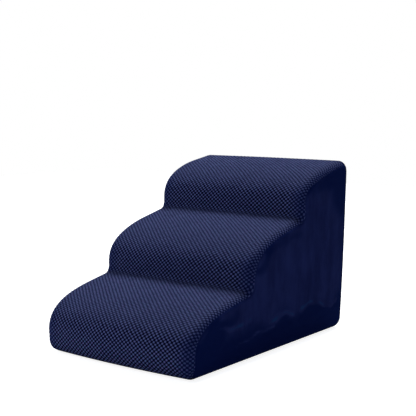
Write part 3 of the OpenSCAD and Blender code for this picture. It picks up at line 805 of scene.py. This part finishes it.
def metal():
    m = Shader("zipper_metal", 0.32, metallic=1.0, specular=0.5)
    brushed = m.noise(m.scaled(m.place(), (0.08, 1.0, 1.0)), 3200.0, 2.0)
    smudge = m.noise(m.place(), 160.0, 4.0)
    color = m.mix(m.ramp(smudge, 0.35, 0.7), rgb(150, 152, 158), rgb(188, 190, 194))
    return m.finish(color, brushed, 0.00005, 0.4, m.ramp(smudge, 0.3, 0.7, 0.24, 0.42))


def foam():
    """Cut foam: open cells of a fraction of a millimetre, a little yellowed in patches."""
    m = Shader("foam", 0.95, specular=0.1)
    cells = m.node("ShaderNodeTexVoronoi", 0, None, {"Vector": m.place(), "Scale": 1100.0})
    patch = m.noise(m.place(), 14.0)
    color = m.mix(m.ramp(patch, 0.3, 0.7), rgb(232, 230, 218), rgb(240, 238, 230))
    color = m.mix(m.ramp(cells, 0.2, 0.0, 0.0, 0.5), color, rgb(176, 172, 158))
    return m.finish(color, cells, 0.0005)


def nonwoven():
    """Liner cloth: pressed fibres with small embossed points in rows."""
    m = Shader("liner_cloth", 0.85, sheen=0.1, specular=0.2)
    point_l = 0.004
    x, y, z = m.split(m.place())
    points = m.times(m.wave(m.add(m.add(x, y), z), point_l), m.wave(m.less(m.add(x, z), y), point_l))
    fibre = m.noise(m.scaled(m.place(), (1.0, 3.0, 1.0)), 500.0, 5.0)
    color = m.mix(m.ramp(fibre, 0.3, 0.7), rgb(222, 222, 224), rgb(246, 246, 247))
    return m.finish(color, m.less(m.times(fibre, 0.4), m.ramp(points, 0.3, 0.8)), 0.0003)


# Camera, light and floor

CAMERA_AT = (1.22239, -1.62334, 0.51881)
CAMERA_AZIMUTH, CAMERA_ELEVATION = math.radians(36.366), math.radians(9.369)
CAMERA_ROLL = math.radians(0.398)
CAMERA_LENS, CAMERA_SENSOR = 79.98, 36.0
CAMERA_SHIFT, CAMERA_CLIP = (-0.01104, 0.12133), (0.05, 60)
AMBIENT = (0.09, 0.11, 0.16)
LIT_POINT = (0, 0, 0.2)
# Place, size and power of each light
LIGHTS = {"key": ((-0.6, 2.4, 5.0), 2.6, 255), "fill": ((-2.4, -1.7, 1.6), 1.2, 22)}


def place_camera():
    a, e, r = CAMERA_AZIMUTH, CAMERA_ELEVATION, CAMERA_ROLL
    back = Vector((math.sin(a) * math.cos(e), -math.cos(a) * math.cos(e), math.sin(e)))
    right = Vector((math.cos(a), math.sin(a), 0))
    up = back.cross(right)
    right, up = right * math.cos(r) + up * math.sin(r), up * math.cos(r) - right * math.sin(r)
    data = bpy.data.cameras.new("camera")
    data.lens, data.sensor_width = CAMERA_LENS, CAMERA_SENSOR
    data.shift_x, data.shift_y = CAMERA_SHIFT
    data.clip_start, data.clip_end = CAMERA_CLIP
    camera = bpy.data.objects.new("camera", data)
    bpy.context.scene.collection.objects.link(camera)
    camera.matrix_world = Matrix.Translation(CAMERA_AT) @ Matrix((right, up, back)).transposed().to_4x4()
    bpy.context.scene.camera = camera


def area_light(name, position, towards, size, power):
    data = bpy.data.lights.new(name, "AREA")
    data.shape, data.size, data.energy = "DISK", size, power
    lamp = bpy.data.objects.new(name, data)
    lamp.location = position
    lamp.rotation_euler = (Vector(position) - Vector(towards)).to_track_quat("Z", "Y").to_euler()
    bpy.context.scene.collection.objects.link(lamp)


def seen_directly(tree):
    """1 for what the camera, a mirror or glass shows, and 0 for light on the object."""
    path = tree.nodes.new("ShaderNodeLightPath")
    share = path.outputs["Is Camera Ray"]
    for name in ("Is Glossy Ray", "Is Transmission Ray"):
        node = tree.nodes.new("ShaderNodeMath")
        node.operation = "MAXIMUM"
        tree.links.new(share, node.inputs[0])
        tree.links.new(path.outputs[name], node.inputs[1])
        share = node.outputs[0]
    return share


def light_world(ambient):
    world = bpy.data.worlds.new("world")
    bpy.context.scene.world = world
    world.use_nodes = True
    tree = world.node_tree
    color = tree.nodes.new("ShaderNodeMix")
    color.data_type = "RGBA"
    tree.links.new(seen_directly(tree), color.inputs[0])
    color.inputs[6].default_value = (*ambient, 1)
    color.inputs[7].default_value = (1, 1, 1, 1)
    tree.links.new(color.outputs[2], tree.nodes["Background"].inputs["Color"])


def lay_floor(half=4.0, paint_level=0.7, glow_level=0.87):
    mesh = bpy.data.meshes.new("floor")
    corners = [(-half, -half, 0), (half, -half, 0), (half, half, 0), (-half, half, 0)]
    mesh.from_pydata(corners, [], [(0, 1, 2, 3)])
    floor = bpy.data.objects.new("floor", mesh)
    bpy.context.scene.collection.objects.link(floor)
    material = bpy.data.materials.new("floor")
    material.use_nodes = True
    tree = material.node_tree
    paint = tree.nodes["Principled BSDF"]
    paint.inputs["Base Color"].default_value = (paint_level, paint_level, paint_level, 1)
    paint.inputs["Roughness"].default_value = 0.9
    paint.inputs["Emission Color"].default_value = (1, 1, 1, 1)
    glow = tree.nodes.new("ShaderNodeMath")
    glow.operation = "MULTIPLY"
    tree.links.new(seen_directly(tree), glow.inputs[0])
    glow.inputs[1].default_value = glow_level
    tree.links.new(glow.outputs[0], paint.inputs["Emission Strength"])
    mesh.materials.append(material)


place_camera()
light_world(AMBIENT)
for light, (position, size, power) in LIGHTS.items():
    area_light(light, position, LIT_POINT, size, power)
lay_floor()
bpy.context.scene.view_settings.view_transform = "Standard"


# The dressed part

JACQUARD, VELVET, THREAD = dotted_jacquard(), velvet(), thread()
METAL, TAPE, LINER = metal(), tape_cloth(), nonwoven()
TEETH = moulded("zipper_teeth", rgb(20, 26, 66), rgb(40, 48, 96), 0.4)
RUBBER = moulded("grip_rubber", rgb(26, 27, 33), rgb(44, 45, 52), 0.55)


def length(stretch_name):
    return ROWS[stretch_name][-1] - ROWS[stretch_name][0]


def sheet(node):
    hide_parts(node)


def make_cover():
    treads, base = ROWS["tread"], ROWS["base"]
    upper, lower, slit = ROWS["back_upper"], ROWS["back_lower"], ROWS["slit"]
    piece = panel("tread_cover", JACQUARD, treads, across(treads, TUFT_COLUMNS), tufts, TREAD_WAVES)
    sheet("tread_panel")
    piece = panel("back_cover_upper", VELVET, upper, across(upper), smooth, TREAD_WAVES, ["end"])
    sheet("back_panel_upper")
    piece = panel("back_cover_lower", VELVET, lower, across(lower), smooth, (), ["start"])
    sheet("back_panel_lower")
    piece = panel("base_cover", base_cloth(), base, across(base))
    sheet("base_panel")
    flat_w, seam = STAIR_W / 2 - EDGE_R, at(SEAM_W, slit)[:, None]
    for sign, side in ((-1, "left"), (1, "right")):
        piece = side_panel("side_cover_" + side, VELVET, sign)
        sheet("side_panel_" + side)
        w = flat_w + (seam - flat_w) * np.linspace(0, 1, TAB_COLUMNS)[None]
        w = w if sign > 0 else -w[:, ::-1]
        piece = panel("end_tab_" + side, VELVET, slit, w, hems=["left" if sign > 0 else "right"])
        sheet("zipper_end_tab_" + side)


def make_dots():
    margin = BASE_EDGE_R + FOOT_TUCK + 2 * DOT_R
    nx, ny = (int((half - margin) / DOT_PITCH) for half in (STAIR_W / 2, STAIR_L / 2))
    centres = [(i * DOT_PITCH, j * DOT_PITCH) for i in range(-nx, nx + 1) for j in range(-ny, ny + 1)]
    profile = [(1, 1), (0.99, 0.7), (0.93, 0.4), (0.8, 0.17), (0.6, 0.04), (0.35, 0)]
    piece = domes("grip_dots_domes", RUBBER, centres, [(r * DOT_R, h * DOT_H) for r, h in profile])
    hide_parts("grip_dots")


def make_stitches():
    half = STAIR_W / 2 - EDGE_R - STITCH_INSET
    for name, side in (("upper", 1), ("lower", -1)):
        z = ZIP_Z + side * (SLIT_W / 2 + STITCH_INSET)
        piece = stitches("zipper_stitches_" + name, THREAD, z + DOT_H, -half, half)


def make_tape_edges():
    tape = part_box("zipper_tape_upper")
    bottom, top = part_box("zipper_bottom_stop"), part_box("zipper_top_stops")
    ends = {
        "left": (tape[0][0], bottom[0][0] - STOP_GAP),
        "right": (top[1][0] + STOP_GAP, tape[1][0]),
    }
    for side, (x_from, x_to) in ends.items():
        piece = tape_edges("zipper_tape_edges_" + side, TAPE, x_from, x_to)


def paint_nodes():
    materials = {
        "foam_core": foam(), "liner_wrap": LINER, "liner_side_left": LINER, "liner_side_right": LINER,
        "zipper_tape_upper": TAPE, "zipper_tape_lower": TAPE,
        "zipper_teeth_upper": TEETH, "zipper_teeth_lower": TEETH,
        "zipper_bottom_stop": METAL, "zipper_top_stops": METAL,
        "zipper_slider": METAL, "zipper_pull_tab": METAL,
    }
    for name, material in materials.items():
        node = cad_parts[name]
        node.data.materials.clear()
        node.data.materials.append(material)
        if material in (TEETH, METAL):
            bevel = node.modifiers.new("worn edges", "BEVEL")
            bevel.width, bevel.segments = WORN_EDGE, 2
            bevel.limit_method = "ANGLE"


make_cover()
make_dots()
make_stitches()
make_tape_edges()
paint_nodes()
